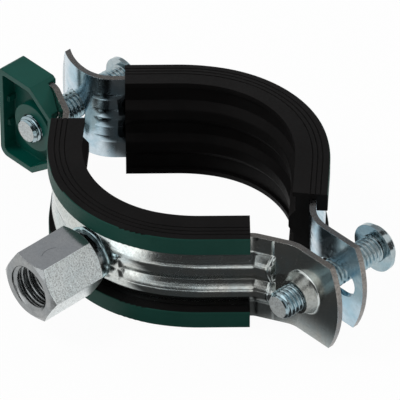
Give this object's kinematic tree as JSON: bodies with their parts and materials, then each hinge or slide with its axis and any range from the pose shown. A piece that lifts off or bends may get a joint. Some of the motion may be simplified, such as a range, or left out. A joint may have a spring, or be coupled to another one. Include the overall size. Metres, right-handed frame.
{
  "type": "rubber lined pipe clamp",
  "caption": "Two-part steel pipe clamp with grooved rubber linings, a hexagonal connection nut, a captive-washer screw and a clip-on plastic quick lock.",
  "frame": {"origin": "centre of the clamped pipe, at the middle of the clamp's width", "axes": "+Z along the pipe, +X across the ears from the quick lock to the hinge screw, -Y along the connection nut's axis"},
  "size_m": [0.0937, 0.071, 0.0232],
  "materials": {
    "zinc_steel": "bright zinc plate",
    "zinc_nut": "zinc plate, slightly mottled",
    "zinc_screw": "bright zinc plate",
    "rubber": "matt black, dark green stripe on the outer lips",
    "green_plastic": "moulded, satin dark green"
  },
  "bodies": {
    "front_half": {"front_band": "zinc_steel", "front_lining": "rubber", "connection_nut": "zinc_nut", "quick_lock": "green_plastic"},
    "rear_half": {"rear_band": "zinc_steel", "rear_lining": "rubber"},
    "hinge_washer_body": {"hinge_washer": "zinc_screw"},
    "hinge_screw_body": {"hinge_screw": "zinc_screw"},
    "lock_screw_body": {"lock_screw": "zinc_screw"}
  },
  "joints": [
    {"name": "rear_half_slide", "type": "slide", "parent": "front_half", "child": "rear_half", "axis": [0, -1, 0], "range_m": [0, 0.005]},
    {"name": "hinge_screw_feed", "type": "slide", "parent": "front_half", "child": "hinge_washer_body", "axis": [0, -1, 0], "range_m": [-0.006, 0.009]},
    {"name": "hinge_screw_turn", "type": "hinge", "parent": "hinge_washer_body", "child": "hinge_screw_body", "pos_m": [0.0375, 0.0146, 0], "axis": [0, -1, 0], "range_deg": [-2161, 3241]},
    {"name": "lock_screw_push", "type": "slide", "parent": "front_half", "child": "lock_screw_body", "axis": [0, -1, 0], "range_m": [-0.003, 0.009]}
  ],
  "couplings": [
    {"joint": "hinge_screw_turn", "follows": "hinge_screw_feed", "rad_per_m": 6283.2}
  ]
}
